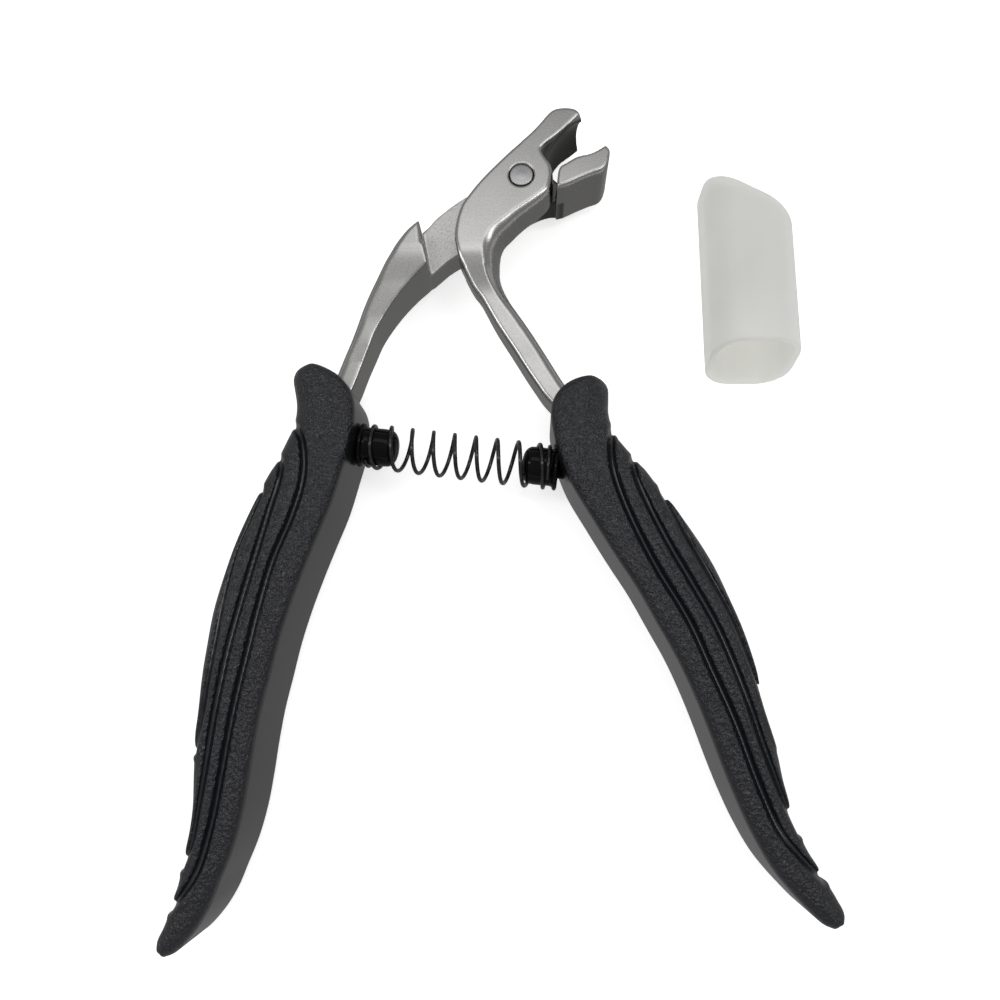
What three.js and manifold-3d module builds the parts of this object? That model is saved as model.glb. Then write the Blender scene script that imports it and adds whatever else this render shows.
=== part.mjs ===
// Spring-loaded nail nipper with a bent head, lying flat and open, and its loose protection cap.
// Millimetres, +Z up. X runs across the handles, Y from the handle ends to the jaws.
// The two steel halves are lap-jointed at the pivot: the rear half carries the left handle and
// the lower jaw, the front half carries the right handle and the upper jaw.
import * as THREE from 'three';
import { mergeVertices } from 'three/addons/utils/BufferGeometryUtils.js';
import Module from 'manifold-3d';

// ---------------------------------------------------------------- driving dimensions
const SHIFT = [-0.60, 0.11];          // moves the origin to the middle of the whole object's base
const PIVOT = [2.95, 48.60];          // pivot axis in plan
const RIVET_R = 1.78;                 // rivet radius
const RIVET_CLEAR = 0.05;             // running clearance of the front half on the rivet
const GAP = 0.30;                     // gap between pieces that touch
const Z_HEAD_LOW = 1.85;              // underside of the head and jaws
const Z_HEAD_TOP = 11.15;             // upper face of the head and jaws
const Z_LAP_LOW_TOP = 6.35;           // upper face of the rear lap plate
const Z_LAP_TOP_LOW = 6.65;           // underside of the front lap plate
const LAP_RADIUS = 5.35;              // clearance radius under the front lap plate
const Z_MID = 6.5;
const GRIP_HEIGHT = 13.0;             // grips stand on the table and are this tall
const GRIP_BEVEL = 1.2;
const OUTER_ROUNDER = 1.9;            // how much rounder a grip's outer edges are than its inner edges
const ARM_AT_GRIP = 2.9;              // half thickness of an arm where it enters its grip
const TANG_HALF = 2.7;                // half thickness of a tang inside its grip
const SPRING_AXIS_L = [-20.75, 7.52]; // spring axis in plan, at the left grip wall
const SPRING_AXIS_R = [8.50, 3.90];   // and at the right grip wall
const SPRING_MEAN_R = 3.12;
const SPRING_WIRE_R = 0.30;
const SPRING_TURNS = 8.3;
const SPRING_PHASE = 1.164;           // angle at which the wire starts, from the axis towards the jaws, in radians
const STUD_NOSE_R = 2.55;
const STUD_FLANGE_R = 3.1;
const CAP_X = [30.6, 43.5];
const CAP_Y = [18.9, 51.6];
const CAP_Z = [0.0, 12.9];
const CAP_WALL = 0.9;
const CAP_CORNER_R = 4.6;
const CAP_MOUTH_LEAN = 2.1;           // the upper lip of the mouth stands this far behind the lower lip
const CAP_END = [49.1, 41.7];         // Y of the oblique closed end at the left and right sides

// ---------------------------------------------------------------- plan outlines (mm)
// front half: head and upper jaw, upper lap plate
const JAW_CORNER = [6.15, 53.55];
const FRONT_HEAD = [
  [-5.18, 45.23], [-3.31, 47.83], [0.30, 51.85], [4.97, 56.53], [6.86, 58.91], [7.35, 59.45], [8.04, 59.90],
  [9.68, 60.13], [11.33, 59.75], [12.38, 58.30], [11.15, 57.75], [9.40, 56.35], [7.70, 54.85], JAW_CORNER,
  [6.03, 52.81], [6.60, 51.88], [7.42, 50.67], [7.82, 49.36], [7.81, 47.81], [7.62, 45.76], [7.15, 44.20],
  [6.04, 42.50], [4.98, 41.40], [3.12, 39.95], [1.26, 38.25], [0.22, 36.60], [-0.20, 34.90], [-0.20, 33.30],
  [0.10, 31.90], [-3.0, 28.2], [-4.04, 30.56], [-5.44, 33.26], [-6.26, 35.18], [-6.63, 36.62], [-6.97, 38.37],
  [-6.94, 39.89], [-6.62, 41.92], [-5.97, 43.95],
];
// front half: neck, arm and tang
const FRONT_ARM = [
  [-4.70, 31.80], [-4.04, 30.56], [-2.99, 29.2], [-0.73, 25.2], [1.79, 21.2], [4.26, 17.2], [5.30, 15.60],
  [6.30, 14.10], [8.40, 11.60], [10.20, 8.80], [12.10, 4.50], [14.70, -1.0], [18.00, -7.1], [21.70, -13.6],
  [24.90, -20.0], [27.60, -26.1], [29.90, -32.1], [31.80, -38.5], [32.7, -39.6], [33.9, -38.9], [34.2, -37.6],
  [32.50, -31.2], [30.10, -24.8], [27.30, -18.3], [24.10, -11.9], [20.50, -5.4], [17.20, 0.5], [14.80, 5.9],
  [12.90, 10.3], [10.90, 13.7], [8.75, 17.30], [7.45, 19.60], [6.00, 22.10], [4.45, 24.70], [2.90, 27.15],
  [1.35, 29.60], [0.60, 30.90], [0.10, 31.90], [-0.20, 33.30], [-0.20, 34.9],
];
// rear half: shoulder, arm and tang
const REAR_ARM = [
  [-12.49, 41.46], [-14.15, 39.98], [-15.15, 38.75], [-16.00, 37.52], [-16.72, 36.28], [-17.45, 35.08],
  [-18.72, 32.58], [-19.84, 30.12], [-20.80, 27.65], [-21.60, 25.15], [-22.42, 22.66], [-23.38, 20.20],
  [-24.20, 17.83], [-25.35, 14.0], [-27.1, 8.0], [-28.7, 2.2], [-31.2, -5.0], [-33.9, -12.0], [-36.1, -20.0],
  [-37.4, -28.0], [-37.9, -36.0], [-37.8, -38.6], [-36.8, -39.8], [-35.6, -39.0], [-35.1, -34.0], [-34.0, -26.0],
  [-32.2, -18.0], [-29.6, -10.0], [-26.7, -2.0], [-24.4, 5.0], [-23.0, 10.0], [-22.2, 13.6], [-21.3, 16.1],
  [-20.47, 18.65], [-19.54, 21.32], [-18.59, 24.03], [-17.16, 26.76], [-15.39, 29.52], [-13.14, 32.3],
  [-11.77, 33.74], [-11.0, 34.66],
];
// rear half: lower lap plate
const REAR_LAP = [
  [-12.0, 34.2], [-11.0, 34.66], [-10.40, 35.19], [-8.73, 36.74], [-7.25, 37.80], [-4.80, 39.1], [-2.40, 40.2],
  [-0.40, 41.5], [0.90, 42.8], [2.40, 44.2], [4.30, 45.6], [7.20, 46.80], [9.57, 46.70], [10.50, 48.6], [10.0, 50.3], [8.95, 50.05],
  [7.85, 51.1], [6.20, 52.5], [3.30, 53.25], [0.40, 52.2], [-2.50, 50.1], [-5.62, 48.29], [-8.48, 46.19],
  [-10.61, 44.24], [-11.66, 42.93], [-12.6, 42.0], [-13.4, 40.9], [-14.0, 36.5],
];
// rear half: lower jaw block
const LOWER_JAW = [
  [8.90, 50.0], [11.80, 51.62], [14.0, 52.2], [15.78, 53.38], [16.29, 52.69], [16.27, 51.53], [15.35, 49.20],
  [11.88, 47.72], [9.57, 46.61], [8.30, 46.40], [8.45, 48.0], [8.75, 49.4],
];
const GRIP_LEFT = [
  [-27.2, 18.35], [-28.6, 18.45], [-29.9, 17.7], [-30.35, 16.4], [-30.05, 14.6], [-29.7, 12.6], [-29.75, 10.5],
  [-30.3, 8.6], [-31.4, 5.7], [-33.6, 1.2], [-35.77, -3.75], [-37.41, -8.33], [-38.6, -12.84], [-39.5, -17.3],
  [-39.95, -21.6], [-40.27, -25.9], [-40.35, -30.15], [-40.3, -34.3], [-40.05, -38.4], [-39.8, -42.4],
  [-39.85, -46.4], [-40.3, -50.3], [-40.95, -54.0], [-41.8, -56.8], [-42.3, -58.2], [-42.25, -59.5],
  [-41.3, -60.35], [-39.9, -59.9], [-37.7, -57.4], [-36.0, -54.6], [-34.8, -51.4], [-33.54, -47.85], [-32.56, -43.6], [-32.0, -39.27],
  [-31.58, -34.87], [-31.0, -30.42], [-30.12, -25.9], [-29.22, -21.28], [-28.0, -16.6], [-26.5, -11.85],
  [-24.8, -7.0], [-23.05, -2.1], [-21.75, 2.9], [-20.95, 6.2], [-20.55, 9.2], [-20.60, 11.8], [-21.2, 14.0],
  [-22.7, 16.0], [-24.7, 17.4],
];
const GRIP_RIGHT = [
  [13.0, 16.2], [14.6, 16.1], [15.5, 15.1], [15.6, 13.5], [15.55, 11.6], [15.9, 9.7], [16.9, 7.6], [18.4, 5.5],
  [20.4, 3.2], [22.05, 0.86], [23.9, -1.43], [26.88, -5.93], [29.4, -10.35], [31.33, -14.7], [32.97, -18.95],
  [34.18, -23.15], [35.1, -27.27], [35.64, -31.32], [36.42, -35.31], [37.06, -39.23], [37.81, -43.1],
  [39.35, -46.86], [41.0, -49.8], [42.2, -51.9], [42.75, -53.3], [42.5, -54.6], [41.4, -55.2],
  [40.1, -54.7], [37.8, -52.6], [34.43, -48.72], [32.08, -44.65], [30.23, -40.5], [28.64, -36.27], [27.15, -31.96],
  [25.5, -27.59], [23.54, -23.14], [21.1, -18.6], [18.6, -13.99], [15.65, -9.3], [12.77, -4.5], [9.9, 0.5],
  [8.5, 4.0], [7.6, 7.5], [7.25, 10.6], [7.6, 12.6], [8.7, 14.3], [10.6, 15.6],
];

// ---------------------------------------------------------------- helpers
const wasm = await Module();
wasm.setup();

function solid(geometry) {
  const g = geometry.index ? geometry.toNonIndexed() : geometry.clone();
  g.deleteAttribute('normal');
  g.deleteAttribute('uv');
  const m = mergeVertices(g, 1e-5);
  return new wasm.Manifold(new wasm.Mesh({
    numProp: 3,
    vertProperties: new Float32Array(m.attributes.position.array),
    triVerts: new Uint32Array(m.index.array),
  }));
}

function geometryOf(manifold) {
  const mesh = manifold.getMesh();
  const g = new THREE.BufferGeometry();
  g.setAttribute('position', new THREE.BufferAttribute(new Float32Array(mesh.vertProperties), 3));
  g.setIndex(new THREE.BufferAttribute(new Uint32Array(mesh.triVerts), 1));
  const flat = g.toNonIndexed();
  flat.computeVertexNormals();
  return flat;
}

const shapeOf = (points) => new THREE.Shape(points.map(([x, y]) => new THREE.Vector2(x, y)));

function slab(points, z0, z1) {
  const g = new THREE.ExtrudeGeometry(shapeOf(points), { depth: z1 - z0, bevelEnabled: false });
  g.translate(0, 0, z0);
  return g;
}

// moves every edge of a closed outline outwards by d
function grow(points, d) {
  const area = points.reduce((a, p, i) => {
    const q = points[(i + 1) % points.length];
    return a + p[0] * q[1] - q[0] * p[1];
  }, 0);
  const side = area > 0 ? 1 : -1;
  return points.map((p, i) => {
    const a = points[(i + points.length - 1) % points.length];
    const b = points[(i + 1) % points.length];
    const n1 = new THREE.Vector2(p[1] - a[1], a[0] - p[0]).normalize();
    const n2 = new THREE.Vector2(b[1] - p[1], p[0] - b[0]).normalize();
    const n = n1.clone().add(n2).normalize();
    const k = Math.min(1 / Math.max(n.dot(n1), 0.4), 2.0);
    return [p[0] + side * n.x * d * k, p[1] + side * n.y * d * k];
  });
}

// a wide prism with the given outline in the Y-Z plane, across the whole object
function sideCut(points) {
  const g = new THREE.ExtrudeGeometry(shapeOf(points), { depth: 160, bevelEnabled: false });
  g.applyMatrix4(new THREE.Matrix4().makeBasis(
    new THREE.Vector3(0, 1, 0), new THREE.Vector3(0, 0, 1), new THREE.Vector3(1, 0, 0)));
  g.translate(-80, 0, 0);
  return solid(g);
}

function post(x, y, r, z0, z1, sides = 32) {
  const g = new THREE.CylinderGeometry(r, r, z1 - z0, sides);
  g.rotateX(Math.PI / 2);
  g.translate(x, y, (z0 + z1) / 2);
  return solid(g);
}

function turned(profile, from, dir, sides = 24) {
  const g = new THREE.LatheGeometry(profile.map(([r, h]) => new THREE.Vector2(r, h)), sides);
  const q = new THREE.Quaternion().setFromUnitVectors(new THREE.Vector3(0, 1, 0), dir);
  g.applyQuaternion(q);
  g.translate(from.x, from.y, from.z);
  return g;
}

// ---------------------------------------------------------------- steel halves
// thins an arm from the full head thickness down to its tang: yHead where the taper starts,
// yGrip where it reaches the grip, yTang where the thin tang starts
function taper(body, yHead, yGrip, yTang, extra = 0) {
  for (const s of [1, -1]) {
    const zh = Z_MID + s * (Z_HEAD_TOP - Z_MID + extra);
    const zg = Z_MID + s * (ARM_AT_GRIP + extra);
    const zt = Z_MID + s * (TANG_HALF + extra);
    const far = Z_MID + s * 20;
    let pts = [[yHead, zh], [yGrip, zg], [yTang, zg], [yTang, zt], [-70, zt], [-70, far], [yHead, far]];
    if (s < 0) pts = pts.reverse();
    body = body.subtract(sideCut(pts));
  }
  return body;
}

const rivetHole = post(PIVOT[0], PIVOT[1], RIVET_R + RIVET_CLEAR, -5, 20, 40);

// rear half: arm and tang, lower lap plate, lower jaw
const REAR_TAPER = [37.5, 19.5, 13.2];
let rear = taper(solid(slab(REAR_ARM, Z_HEAD_LOW, Z_HEAD_TOP)), ...REAR_TAPER)
  .add(solid(slab(REAR_LAP, Z_HEAD_LOW, Z_LAP_LOW_TOP)))
  .add(solid(slab(LOWER_JAW, Z_HEAD_LOW, Z_HEAD_TOP)));
const rearTool = taper(solid(slab(grow(REAR_ARM, GAP), Z_HEAD_LOW, Z_HEAD_TOP)), ...REAR_TAPER, GAP);
rear = rear.subtract(rivetHole);

// front half: upper lap plate, full-thickness upper jaw beyond the lap, neck, arm and tang
const FRONT_TAPER = [36.5, 20.0, 10.6];
const jawDir = new THREE.Vector2(0.689, 0.7247);
let frontHead = solid(slab(FRONT_HEAD, Z_HEAD_LOW, Z_HEAD_TOP));
// the space under the upper lap plate: a disc round the pivot, and all behind a line across the jaw
const across = new THREE.Vector2(-jawDir.y, jawDir.x);
const pocketAt = (s, t) => [PIVOT[0] + jawDir.x * s + across.x * t, PIVOT[1] + jawDir.y * s + across.y * t];
const pocketOutline = [pocketAt(3.0, -16), pocketAt(3.0, 12), pocketAt(-40, 12), pocketAt(-40, -16)];
frontHead = frontHead
  .subtract(solid(slab(pocketOutline, Z_HEAD_LOW - 5, Z_LAP_TOP_LOW)))
  .subtract(post(PIVOT[0], PIVOT[1], LAP_RADIUS, Z_HEAD_LOW - 5, Z_LAP_TOP_LOW, 48));
// the neck is full thickness only in front of a slanted step that clears the rear lap plate
let neck = taper(solid(slab(FRONT_ARM, Z_HEAD_LOW, Z_HEAD_TOP)), ...FRONT_TAPER);
neck = neck.subtract(solid(slab([[-9, 25.7], [-5, 29.7], [1, 35.7], [12, 46.7], [-20, 60]], Z_HEAD_LOW - 5, Z_LAP_TOP_LOW)));
let front = frontHead.add(neck).subtract(rivetHole);
const frontTool = taper(solid(slab(grow(FRONT_ARM, GAP), Z_HEAD_LOW, Z_HEAD_TOP)), ...FRONT_TAPER, GAP);

// ---------------------------------------------------------------- rivet
// a plain pin whose heads are ground flush with both faces of the head; the ring gap round it
// is the running clearance in the front half
const rivet = new THREE.CylinderGeometry(RIVET_R, RIVET_R, Z_HEAD_TOP - Z_HEAD_LOW, 40);
rivet.rotateX(Math.PI / 2);
rivet.translate(PIVOT[0], PIVOT[1], Z_MID);

// ---------------------------------------------------------------- spring studs
const axisL = new THREE.Vector3(SPRING_AXIS_L[0], SPRING_AXIS_L[1], Z_MID);
const axisR = new THREE.Vector3(SPRING_AXIS_R[0], SPRING_AXIS_R[1], Z_MID);
const along = axisR.clone().sub(axisL).normalize();
const back = along.clone().negate();
// profile from the shank end to the dome: radius, height above the grip wall
const studProfile = (shank, nose) => [
  [0, -shank], [1.5, -shank], [1.5, 0.12], [STUD_FLANGE_R, 0.12], [STUD_FLANGE_R, 0.85], [STUD_NOSE_R, 1.05],
  [STUD_NOSE_R, nose - 1.3], [STUD_NOSE_R - 0.35, nose - 0.55], [STUD_NOSE_R - 1.1, nose - 0.12], [0, nose],
];
const studLeft = turned(studProfile(1.7, 5.6), axisL, along);
const studRight = turned(studProfile(1.7, 5.3), axisR, back);

// ---------------------------------------------------------------- return spring
class Helix extends THREE.Curve {
  constructor(start, dir, length, turns, radius) {
    super();
    this.start = start; this.dir = dir; this.length = length; this.turns = turns; this.radius = radius;
    this.u = new THREE.Vector3(0, 0, 1);
    this.v = new THREE.Vector3().crossVectors(this.u, dir).normalize();
  }
  getPoint(t, target = new THREE.Vector3()) {
    const a = SPRING_PHASE + Math.PI * 2 * this.turns * t;
    return target.copy(this.start).addScaledVector(this.dir, this.length * t)
      .addScaledVector(this.v, this.radius * Math.cos(a)).addScaledVector(this.u, this.radius * Math.sin(a));
  }
}
const SPRING_START = 1.75;            // first wire centre above the left grip wall
const SPRING_END = 1.75;              // last wire centre above the right grip wall
const springLength = axisR.clone().sub(axisL).length() - SPRING_START - SPRING_END;
const helix = new Helix(axisL.clone().addScaledVector(along, SPRING_START), along, springLength, SPRING_TURNS, SPRING_MEAN_R);
const wire = new THREE.Shape();
for (let i = 0; i < 6; i++) {
  const a = (i / 6) * Math.PI * 2;
  const p = [SPRING_WIRE_R * Math.cos(a), SPRING_WIRE_R * Math.sin(a)];
  if (i === 0) wire.moveTo(...p); else wire.lineTo(...p);
}
const spring = new THREE.ExtrudeGeometry(wire, { steps: Math.round(SPRING_TURNS * 12), extrudePath: helix, bevelEnabled: false });

// ---------------------------------------------------------------- grips
// rings of the outline, drawn in by each inset, stacked at each height and closed by flat ends
// (the outer side of a grip, its first outline points up to count, is drawn in more than the inner side)
function stacked(outline, rings, count) {
  const loops = rings.map(([inset, z]) => {
    const near = grow(outline, -inset);
    const far = grow(outline, -inset * OUTER_ROUNDER);
    return near.map(([x, y], i) => {
      const w = Math.min(1, Math.max(0, Math.min((i - 4) / 5, (count - i) / 6)));
      return [x + (far[i][0] - x) * w, y + (far[i][1] - y) * w, z];
    });
  });
  const ends = [loops[0], loops[loops.length - 1]].map((loop) => THREE.ShapeUtils.triangulateShape(
    loop.map(([x, y]) => new THREE.Vector2(x, y)), []));
  const n = outline.length;
  const tris = [];
  const area = THREE.ShapeUtils.area(outline.map(([x, y]) => new THREE.Vector2(x, y)));
  const put = (a, b, c) => (area > 0 ? tris.push(a, b, c) : tris.push(a, c, b));
  for (let k = 0; k + 1 < loops.length; k++) {
    for (let i = 0; i < n; i++) {
      const j = (i + 1) % n;
      const a = k * n + i, b = k * n + j, c = a + n, d = b + n;
      put(a, b, d);
      put(a, d, c);
    }
  }
  const last = (loops.length - 1) * n;
  for (const [a, b, c] of ends[0]) tris.push(a, c, b);
  for (const [a, b, c] of ends[1]) tris.push(last + a, last + b, last + c);
  const g = new THREE.BufferGeometry();
  g.setAttribute('position', new THREE.Float32BufferAttribute(loops.flat(2), 3));
  g.setIndex(tris);
  return g;
}
function grip(outline, count, tool, studFrom, studDir) {
  const b = GRIP_BEVEL, h = GRIP_HEIGHT;
  const g = stacked(outline, [[b, 0], [b * 0.32, b * 0.32], [0, b], [0, h - b], [b * 0.32, h - b * 0.32], [b, h]], count);
  const bore = turned([[0, -1.95], [1.8, -1.95], [1.8, -0.18], [STUD_FLANGE_R + 0.3, -0.18], [STUD_FLANGE_R + 0.3, 8], [0, 8]], studFrom, studDir);
  return solid(g).subtract(tool).subtract(solid(bore));
}
const gripLeft = grip(GRIP_LEFT, 23, rearTool, axisL, along);
const gripRight = grip(GRIP_RIGHT, 22, frontTool, axisR, back);

// ---------------------------------------------------------------- protection cap
function roundedBox(x0, x1, z0, z1, r, y0, y1) {
  const s = new THREE.Shape();
  const n = 6;
  const corner = (cx, cz, a0) => {
    for (let i = 0; i <= n; i++) {
      const a = a0 + (Math.PI / 2) * (i / n);
      const p = [cx + r * Math.cos(a), cz + r * Math.sin(a)];
      if (a0 === 0 && i === 0) s.moveTo(...p); else s.lineTo(...p);
    }
  };
  corner(x1 - r, z1 - r, 0);
  corner(x0 + r, z1 - r, Math.PI / 2);
  corner(x0 + r, z0 + r, Math.PI);
  corner(x1 - r, z0 + r, Math.PI * 1.5);
  const g = new THREE.ExtrudeGeometry(s, { depth: y1 - y0, bevelEnabled: false });
  g.rotateX(Math.PI / 2);              // section X-Z, depth along -Y
  g.translate(0, y1, 0);
  return solid(g);
}
const capEndCut = (inset) => {
  const slope = (CAP_END[1] - CAP_END[0]) / (CAP_X[1] - CAP_X[0]);
  const at = (x) => CAP_END[0] + slope * (x - CAP_X[0]) - inset;
  return solid(slab([[CAP_X[0] - 5, at(CAP_X[0] - 5)], [CAP_X[1] + 5, at(CAP_X[1] + 5)], [CAP_X[1] + 5, 80], [CAP_X[0] - 5, 80]], -5, 20));
};
const mouthCut = sideCut([[0, -1], [CAP_Y[0] - 0.17, -1], [CAP_Y[0] + CAP_MOUTH_LEAN * 1.08, 13.9], [0, 13.9]])
  .intersect(solid(slab([[CAP_X[0] - 5, 0], [CAP_X[1] + 5, 0], [CAP_X[1] + 5, 60], [CAP_X[0] - 5, 60]], -5, 20)));
const capOuter = roundedBox(CAP_X[0], CAP_X[1], CAP_Z[0], CAP_Z[1], CAP_CORNER_R, CAP_Y[0], CAP_Y[1]).subtract(capEndCut(0));
const capInner = roundedBox(CAP_X[0] + CAP_WALL, CAP_X[1] - CAP_WALL, CAP_Z[0] + CAP_WALL, CAP_Z[1] - CAP_WALL,
  CAP_CORNER_R - CAP_WALL, CAP_Y[0] - 3, CAP_Y[1]).subtract(capEndCut(CAP_WALL * 1.3));
const cap = capOuter.subtract(capInner).subtract(mouthCut);

// ---------------------------------------------------------------- assembly
const nipper = new THREE.Group();
nipper.position.set(SHIFT[0], SHIFT[1], 0);
const finish = (color, roughness, metalness, extra = {}) =>
  new THREE.MeshStandardMaterial({ color: new THREE.Color(...color), roughness, metalness, ...extra });
function piece(name, geometry, material) {
  const mesh = new THREE.Mesh(geometry, material);
  mesh.name = name;
  nipper.add(mesh);
}
piece('rear_arm', geometryOf(rear), finish([0.62, 0.61, 0.60], 0.35, 1.0));
piece('front_arm', geometryOf(front), finish([0.62, 0.61, 0.60], 0.35, 1.0));
piece('pivot_rivet', rivet, finish([0.60, 0.60, 0.60], 0.30, 1.0));
piece('grip_left', geometryOf(gripLeft), finish([0.03, 0.03, 0.035], 0.5, 0.0));
piece('grip_right', geometryOf(gripRight), finish([0.03, 0.03, 0.035], 0.5, 0.0));
piece('spring_stud_left', studLeft, finish([0.015, 0.015, 0.018], 0.2, 0.0));
piece('spring_stud_right', studRight, finish([0.015, 0.015, 0.018], 0.2, 0.0));
piece('return_spring', spring, finish([0.03, 0.03, 0.032], 0.3, 1.0));
piece('head_cap', geometryOf(cap), finish([0.80, 0.80, 0.78], 0.4, 0.0, { transparent: true, opacity: 0.6 }));

export default nipper;
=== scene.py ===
import math
import bpy
import numpy as np
from mathutils import Matrix, Vector


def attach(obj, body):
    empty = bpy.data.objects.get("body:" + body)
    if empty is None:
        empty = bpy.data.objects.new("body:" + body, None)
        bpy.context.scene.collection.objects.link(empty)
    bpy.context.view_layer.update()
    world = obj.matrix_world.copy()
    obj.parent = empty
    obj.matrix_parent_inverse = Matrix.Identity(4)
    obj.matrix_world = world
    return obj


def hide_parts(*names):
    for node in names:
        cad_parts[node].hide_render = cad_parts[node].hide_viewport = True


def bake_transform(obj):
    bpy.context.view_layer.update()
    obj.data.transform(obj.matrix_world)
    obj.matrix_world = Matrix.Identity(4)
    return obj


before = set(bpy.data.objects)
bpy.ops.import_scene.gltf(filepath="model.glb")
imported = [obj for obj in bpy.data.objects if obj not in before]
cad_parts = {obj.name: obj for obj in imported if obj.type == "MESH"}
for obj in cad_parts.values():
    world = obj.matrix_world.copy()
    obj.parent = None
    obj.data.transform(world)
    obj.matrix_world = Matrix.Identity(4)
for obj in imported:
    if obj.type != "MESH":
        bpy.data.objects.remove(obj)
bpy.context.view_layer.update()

# Every shape below is written in millimetres in the frame of the CAD model and scaled once, when its mesh is made.
MM = 0.001
SHIFT = np.array([-0.60, 0.11])
PIVOT = np.array([2.35, 48.71])
Z_LOW, Z_TOP, Z_MID = 1.85, 11.15, 6.5
LAP_LOW_TOP, LAP_TOP_LOW = 6.35, 6.65


# ------------------------------------------------------------------ field tools
def soft(t):
    t = np.clip(t, 0.0, 1.0)
    return t * t * (3 - 2 * t)


def both(a, b, r):
    """Inside both fields, with a rounded edge of radius r."""
    ua, ub = a + r, b + r
    return np.minimum(np.maximum(ua, ub), 0) + np.hypot(np.maximum(ua, 0), np.maximum(ub, 0)) - r


def either(a, b, r):
    """Inside one of the fields, with a fillet of radius r."""
    return -both(-a, -b, r)


def outline(points, step=0.3, sharp=48, closed=True, shift=True):
    """A dense outline through the points: smooth, with the corners that turn more than sharp degrees kept."""
    p = np.array(points, float) + (SHIFT if shift else 0)
    n = len(p)
    out = []
    corner = np.zeros(n, bool)
    for i in range(n):
        if not closed and i in (0, n - 1):
            corner[i] = True
            continue
        a, b = p[i] - p[i - 1], p[(i + 1) % n] - p[i]
        c = np.dot(a, b) / (np.linalg.norm(a) * np.linalg.norm(b))
        corner[i] = math.degrees(math.acos(np.clip(c, -1, 1))) > sharp
    for i in range(n if closed else n - 1):
        p1, p2 = p[i], p[(i + 1) % n]
        p0 = p[i - 1] if not corner[i] else p1 - (p2 - p1)
        p3 = p[(i + 2) % n] if not corner[(i + 1) % n] else p2 + (p2 - p1)
        t0 = 0.0
        t1 = t0 + np.linalg.norm(p1 - p0) ** 0.5
        t2 = t1 + np.linalg.norm(p2 - p1) ** 0.5
        t3 = t2 + np.linalg.norm(p3 - p2) ** 0.5
        m = max(1, int(np.linalg.norm(p2 - p1) / step))
        for t in np.linspace(t1, t2, m, endpoint=False):
            a1 = (t1 - t) / (t1 - t0) * p0 + (t - t0) / (t1 - t0) * p1
            a2 = (t2 - t) / (t2 - t1) * p1 + (t - t1) / (t2 - t1) * p2
            a3 = (t3 - t) / (t3 - t2) * p2 + (t - t2) / (t3 - t2) * p3
            b1 = (t2 - t) / (t2 - t0) * a1 + (t - t0) / (t2 - t0) * a2
            b2 = (t3 - t) / (t3 - t1) * a2 + (t - t1) / (t3 - t1) * a3
            out.append((t2 - t) / (t2 - t1) * b1 + (t - t1) / (t2 - t1) * b2)
    if not closed:
        out.append(p[-1])
    return np.array(out)


def curve(y, at, values, blur=2.0):
    """A smooth profile along y through about the given values."""
    fine = np.arange(min(at) - 3 * blur, max(at) + 3 * blur, 0.1)
    v = np.interp(fine, at, values)
    w = np.hanning(int(blur / 0.1) * 2 + 1)
    v = np.convolve(np.pad(v, len(w) // 2, mode="edge"), w / w.sum(), mode="valid")
    return np.interp(y, fine, v)


class Grid:
    """A block of sample points. flat fields have the shape (nx, ny, 1)."""

    def __init__(self, lo, hi, h):
        self.h = h
        self.lo = np.array(lo, float) - 2.5 * h
        n = np.ceil((np.array(hi, float) + 2.5 * h - self.lo) / h).astype(int) + 1
        self.ax = [self.lo[k] + h * np.arange(n[k]) for k in range(3)]
        self.X = self.ax[0][:, None, None]
        self.Y = self.ax[1][None, :, None]
        self.Z = self.ax[2][None, None, :]
        gx, gy = np.meshgrid(self.ax[0], self.ax[1], indexing="ij")
        self.p2 = np.stack([gx.ravel(), gy.ravel()], 1)
        self.flat = gx.shape

    def _segments(self, line, closed):
        a = line if closed else line[:-1]
        b = np.roll(line, -1, 0) if closed else line[1:]
        return a, b

    def region(self, line):
        """Signed distance in plan to a closed outline, negative inside."""
        p = self.p2
        best = np.full(len(p), 1e18)
        inside = np.zeros(len(p), bool)
        for a, b in zip(*self._segments(line, True)):
            e = b - a
            wx, wy = p[:, 0] - a[0], p[:, 1] - a[1]
            t = np.clip((wx * e[0] + wy * e[1]) / max(e @ e, 1e-12), 0, 1)
            best = np.minimum(best, (wx - e[0] * t) ** 2 + (wy - e[1] * t) ** 2)
            if a[1] != b[1]:
                cross = (a[1] > p[:, 1]) != (b[1] > p[:, 1])
                inside ^= cross & (p[:, 0] < a[0] + (p[:, 1] - a[1]) * e[0] / e[1])
        d = np.sqrt(best)
        return np.where(inside, -d, d).reshape(self.flat)[:, :, None]

    def line(self, line):
        """(distance, side, share of the length) in plan for an open line; side is positive on its left."""
        p = self.p2
        best = np.full(len(p), 1e18)
        side = np.zeros(len(p))
        share = np.zeros(len(p))
        a, b = self._segments(line, False)
        seg = np.linalg.norm(b - a, axis=1)
        run = np.concatenate([[0], np.cumsum(seg)])
        for k in range(len(a)):
            e = b[k] - a[k]
            wx, wy = p[:, 0] - a[k][0], p[:, 1] - a[k][1]
            t = np.clip((wx * e[0] + wy * e[1]) / max(e @ e, 1e-12), 0, 1)
            d = (wx - e[0] * t) ** 2 + (wy - e[1] * t) ** 2
            near = d < best
            best = np.where(near, d, best)
            side = np.where(near, np.sign(e[0] * wy - e[1] * wx), side)
            share = np.where(near, (run[k] + t * seg[k]) / run[-1], share)
        shape = (*self.flat, 1)
        return np.sqrt(best).reshape(shape), side.reshape(shape), share.reshape(shape)


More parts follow.
